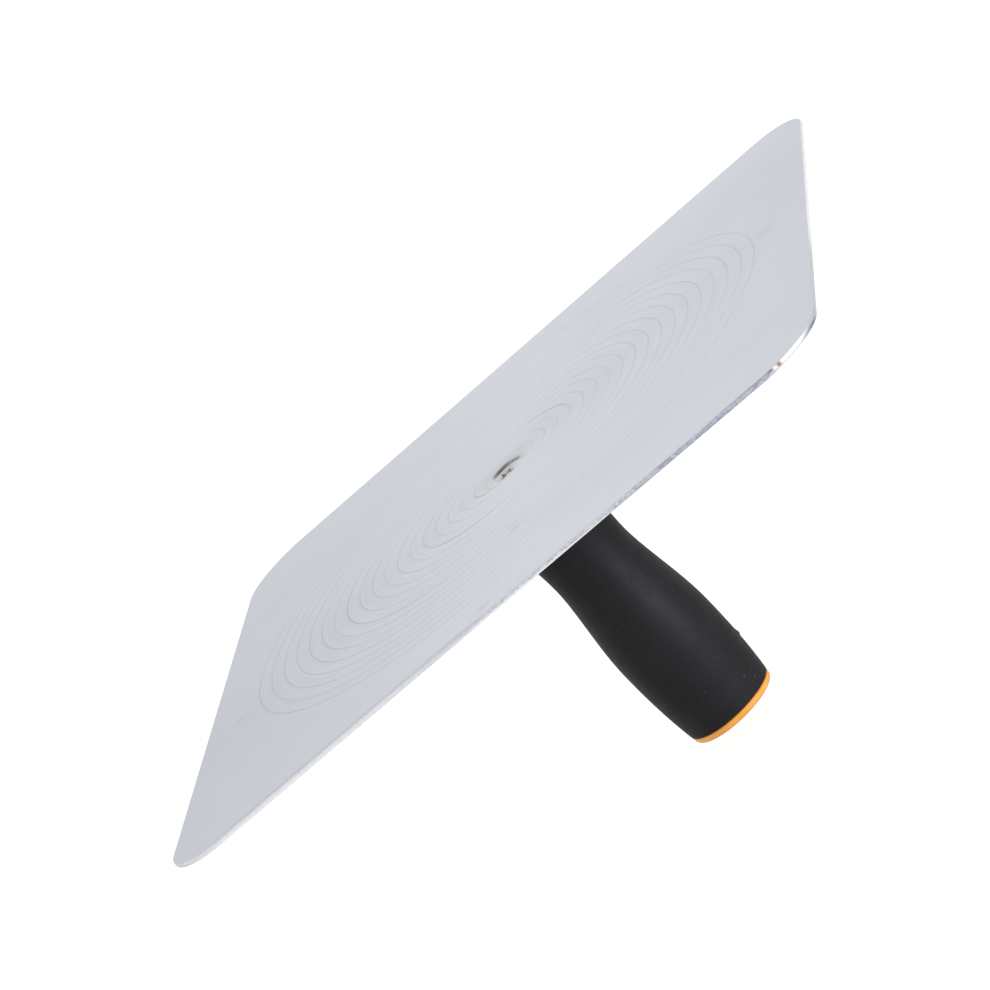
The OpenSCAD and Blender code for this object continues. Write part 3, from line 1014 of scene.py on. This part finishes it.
def cap_plastic():
    """Satin orange moulding with faint rub marks and a deeper line of painted shade at the
    grip joint.
    """
    mat = Nodes("cap_plastic")
    grain = mat.noise(mat.place, scale=3.2)
    cloud = mat.noise(mat.place, scale=0.16, detail=2.0, rough=0.5)
    rub = mat.noise(mat.stretch((0.25, 2.5, 2.5), spin=0.7), rough=0.7)
    colour = mat.mix(mat.step(cloud, 0.35, 0.65), (0.86, 0.375, 0.055), (0.91, 0.415, 0.080))
    colour = mat.mix(mat.step(rub, 0.60, 0.75, to=(0.0, 0.18)), colour, (0.90, 0.50, 0.17))
    # painted shade in the crease where the cap meets the grip
    joint = mat.step(mat.z, -GRIP_END - 0.60, -GRIP_END - 0.25, to=(0.0, 0.75))
    colour = mat.mix(joint, colour, (0.46, 0.12, 0.012))
    mat.set(colour=colour, metal=0.0, rough=mat.step(grain, 0.3, 0.7, to=(0.32, 0.44)),
            spec=0.45, sss=0.08, sss_scale=0.002,
            normal=mat.bump(grain, distance=0.03, strength=0.4))
    return mat.material


# ---------------------------------------------------------------- build
def place(obj, node, body, material):
    obj.data.materials.clear()
    obj.data.materials.append(material)
    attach(obj, body)
    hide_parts(node)


alloy = alloy_sheet()
zinc = bare_steel("zinc_steel", base=(0.60, 0.61, 0.60), tint=(0.70, 0.71, 0.69), rough=0.28)
spring = bare_steel("spring_steel", base=(0.30, 0.31, 0.33), tint=(0.38, 0.39, 0.41),
                    rough=0.36)
rubber = grip_rubber()
plastic = core_plastic()
orange = cap_plastic()

place(make_board(), "plate", "board", alloy)
place(make_dished_washer(), "seat_washer", "board", zinc)
place(make_screw(), "centre_screw", "screw", screw_zinc())
place(make_nut(), "hex_nut", "handle", zinc)
place(make_lock_washer(), "spring_washer", "handle", spring)
place(make_grip(), "grip_sleeve", "handle", rubber)
place(make_cap(), "end_cap", "handle", orange)

core = frame["nodes"]["handle_core"]
core.data.materials.clear()
core.data.materials.append(plastic)


# ---------------------------------------------------------------- stage
def seen_or_not(tree, seen, unseen):
    """Shader that is one thing to the camera and another to every other ray."""
    path = tree.nodes.new("ShaderNodeLightPath")
    mix = tree.nodes.new("ShaderNodeMixShader")
    tree.links.new(path.outputs["Is Camera Ray"], mix.inputs[0])
    tree.links.new(unseen, mix.inputs[1])
    tree.links.new(seen, mix.inputs[2])
    return mix.outputs[0]


def make_floor(seen_glow=0.88, unseen_glow=0.26):
    """Flat floor that looks white to the camera but lights the work as a pale grey one."""
    mesh = bpy.data.meshes.new("floor")
    half = 40.0                       # metres
    corners = [(-half, -half, 0), (half, -half, 0), (half, half, 0), (-half, half, 0)]
    mesh.from_pydata(corners, [], [(0, 1, 2, 3)])
    floor = add_object("floor", mesh)
    # low enough to clear the handle when it is drawn off the board
    joints = frame["record"]["behaviour"]["joints"]
    travel = max(joint["range_m"][1] for joint in joints if joint["type"] == "slide")
    floor.location.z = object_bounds()[0].z - travel - 0.0003
    material = bpy.data.materials.new("pale_floor")
    tree = tree_of(material)
    out = tree.nodes.new("ShaderNodeOutputMaterial")
    diffuse = tree.nodes.new("ShaderNodeBsdfDiffuse")
    diffuse.inputs[0].default_value = (0.34, 0.34, 0.34, 1)
    sums = []
    for strength in (seen_glow, unseen_glow):
        glow = tree.nodes.new("ShaderNodeEmission")
        glow.inputs[1].default_value = strength
        add = tree.nodes.new("ShaderNodeAddShader")
        tree.links.new(glow.outputs[0], add.inputs[0])
        tree.links.new(diffuse.outputs[0], add.inputs[1])
        sums.append(add.outputs[0])
    tree.links.new(seen_or_not(tree, *sums), out.inputs[0])
    mesh.materials.append(material)


def make_world():
    """Studio of tall white walls under a dark ceiling, brighter right than left. The
    camera sees plain white."""
    world = bpy.data.worlds.new("studio")
    bpy.context.scene.world = world
    tree = tree_of(world)
    out = tree.nodes.new("ShaderNodeOutputWorld")
    coord = tree.nodes.new("ShaderNodeTexCoord")
    split = tree.nodes.new("ShaderNodeSeparateXYZ")
    tree.links.new(coord.outputs["Generated"], split.inputs[0])
    # colour by height
    ramp = tree.nodes.new("ShaderNodeValToRGB")
    ramp.color_ramp.interpolation = "EASE"
    stops = ramp.color_ramp.elements
    stops[0].position, stops[0].color = 0.0, (0.97, 0.975, 0.985, 1)
    stops[1].position, stops[1].color = 0.985, (0.16, 0.16, 0.18, 1)
    for at, colour in ((0.82, (1.0, 1.0, 1.0, 1)), (0.93, (0.24, 0.24, 0.255, 1))):
        stops.new(at).color = colour
    tree.links.new(split.outputs[2], ramp.inputs[0])
    # strength from left to right: x from, x to, strength from, strength to
    side = tree.nodes.new("ShaderNodeMapRange")
    side.interpolation_type = "SMOOTHSTEP"
    for i, value in enumerate((-0.9, 0.9, 0.94, 1.04)):
        side.inputs[i + 1].default_value = value
    tree.links.new(split.outputs[0], side.inputs[0])
    room = tree.nodes.new("ShaderNodeBackground")
    tree.links.new(ramp.outputs[0], room.inputs[0])
    tree.links.new(side.outputs[0], room.inputs[1])
    plain = tree.nodes.new("ShaderNodeBackground")
    plain.inputs[0].default_value = (1, 1, 1, 1)
    tree.links.new(seen_or_not(tree, plain.outputs[0], room.outputs[0]), out.inputs[0])


def soft_box(name, azimuth, elevation, distance, size, power, colour=(1, 1, 1)):
    """Area light aimed at the upper handle. azimuth is in degrees from the front towards
    the right; distance and size are in metres."""
    light = bpy.data.lights.new(name, "AREA")
    light.shape = "RECTANGLE"
    light.size, light.size_y = size
    light.energy, light.color = power, colour
    obj = add_object(name, light)
    turn, rise = math.radians(azimuth), math.radians(elevation)
    back = Vector((math.sin(turn) * math.cos(rise), -math.cos(turn) * math.cos(rise),
                   math.sin(rise)))
    obj.location = Vector((0, 0, -0.06)) + back * distance
    obj.rotation_mode = "QUATERNION"
    obj.rotation_quaternion = (-back).to_track_quat("-Z", "Y")
    return obj


def group(name, *parts):
    out = bpy.data.collections.new(name)
    for part in parts:
        out.objects.link(bpy.data.objects[part])
    return out


def make_lights():
    """Each light falls on its own parts only."""
    key = soft_box("key_right", azimuth=54, elevation=12, distance=1.6, size=(0.62, 1.5),
                   power=21.5, colour=(0.98, 0.965, 1.09))
    fill = soft_box("fill_left", azimuth=236, elevation=14, distance=1.8, size=(0.8, 1.4),
                    power=2.8, colour=(1.0, 0.985, 1.04))
    fill_cap = soft_box("fill_cap", azimuth=262, elevation=6, distance=1.8,
                        size=(0.8, 1.4), power=16.0)
    under = soft_box("edge_right", azimuth=36, elevation=-16, distance=1.5,
                     size=(0.9, 0.4), power=10.0)
    handle_parts = group("handle_parts", "soft_grip", "butt_cap")
    board_parts = group("board_parts", "hawk_board")
    solid_parts = group("solid_parts", "soft_grip", "butt_cap", "hawk_board")
    grip_part = group("grip_part", "soft_grip")
    cap_part = group("cap_part", "butt_cap")
    for lamp, parts in ((key, handle_parts), (fill, grip_part), (fill_cap, cap_part),
                        (under, board_parts)):
        lamp.light_linking.receiver_collection = parts
        lamp.light_linking.blocker_collection = solid_parts
        lamp.visible_camera = False


def make_camera():
    """Looks down from the front, strongly rolled: the handle points to the lower right."""
    right = Vector((0.73073425, 0.05227127, -0.68065790))
    up = Vector((0.62864690, 0.33718675, 0.70079111))
    back = Vector((0.26614007, -0.93998554, 0.21353373))
    in_sides = Vector((1.31647275, -4.75643538, 1.06130418))      # place, in board sides
    camera = bpy.data.cameras.new("camera")
    camera.sensor_width = 36.0
    camera.lens = 148.4552
    camera.shift_x, camera.shift_y = -0.000505051, 0.000505051
    camera.clip_start, camera.clip_end = 0.05, 100.0
    obj = add_object("camera", camera)
    turn = Matrix((right, up, back)).transposed()
    obj.matrix_world = Matrix.Translation(in_sides * (2 * HALF_SIDE * MM)) @ turn.to_4x4()
    bpy.context.scene.camera = obj


make_floor()
make_world()
make_lights()
make_camera()

view = bpy.context.scene.view_settings
view.view_transform = "Standard"
view.look = "None"
view.exposure = 0.0
view.gamma = 1.0
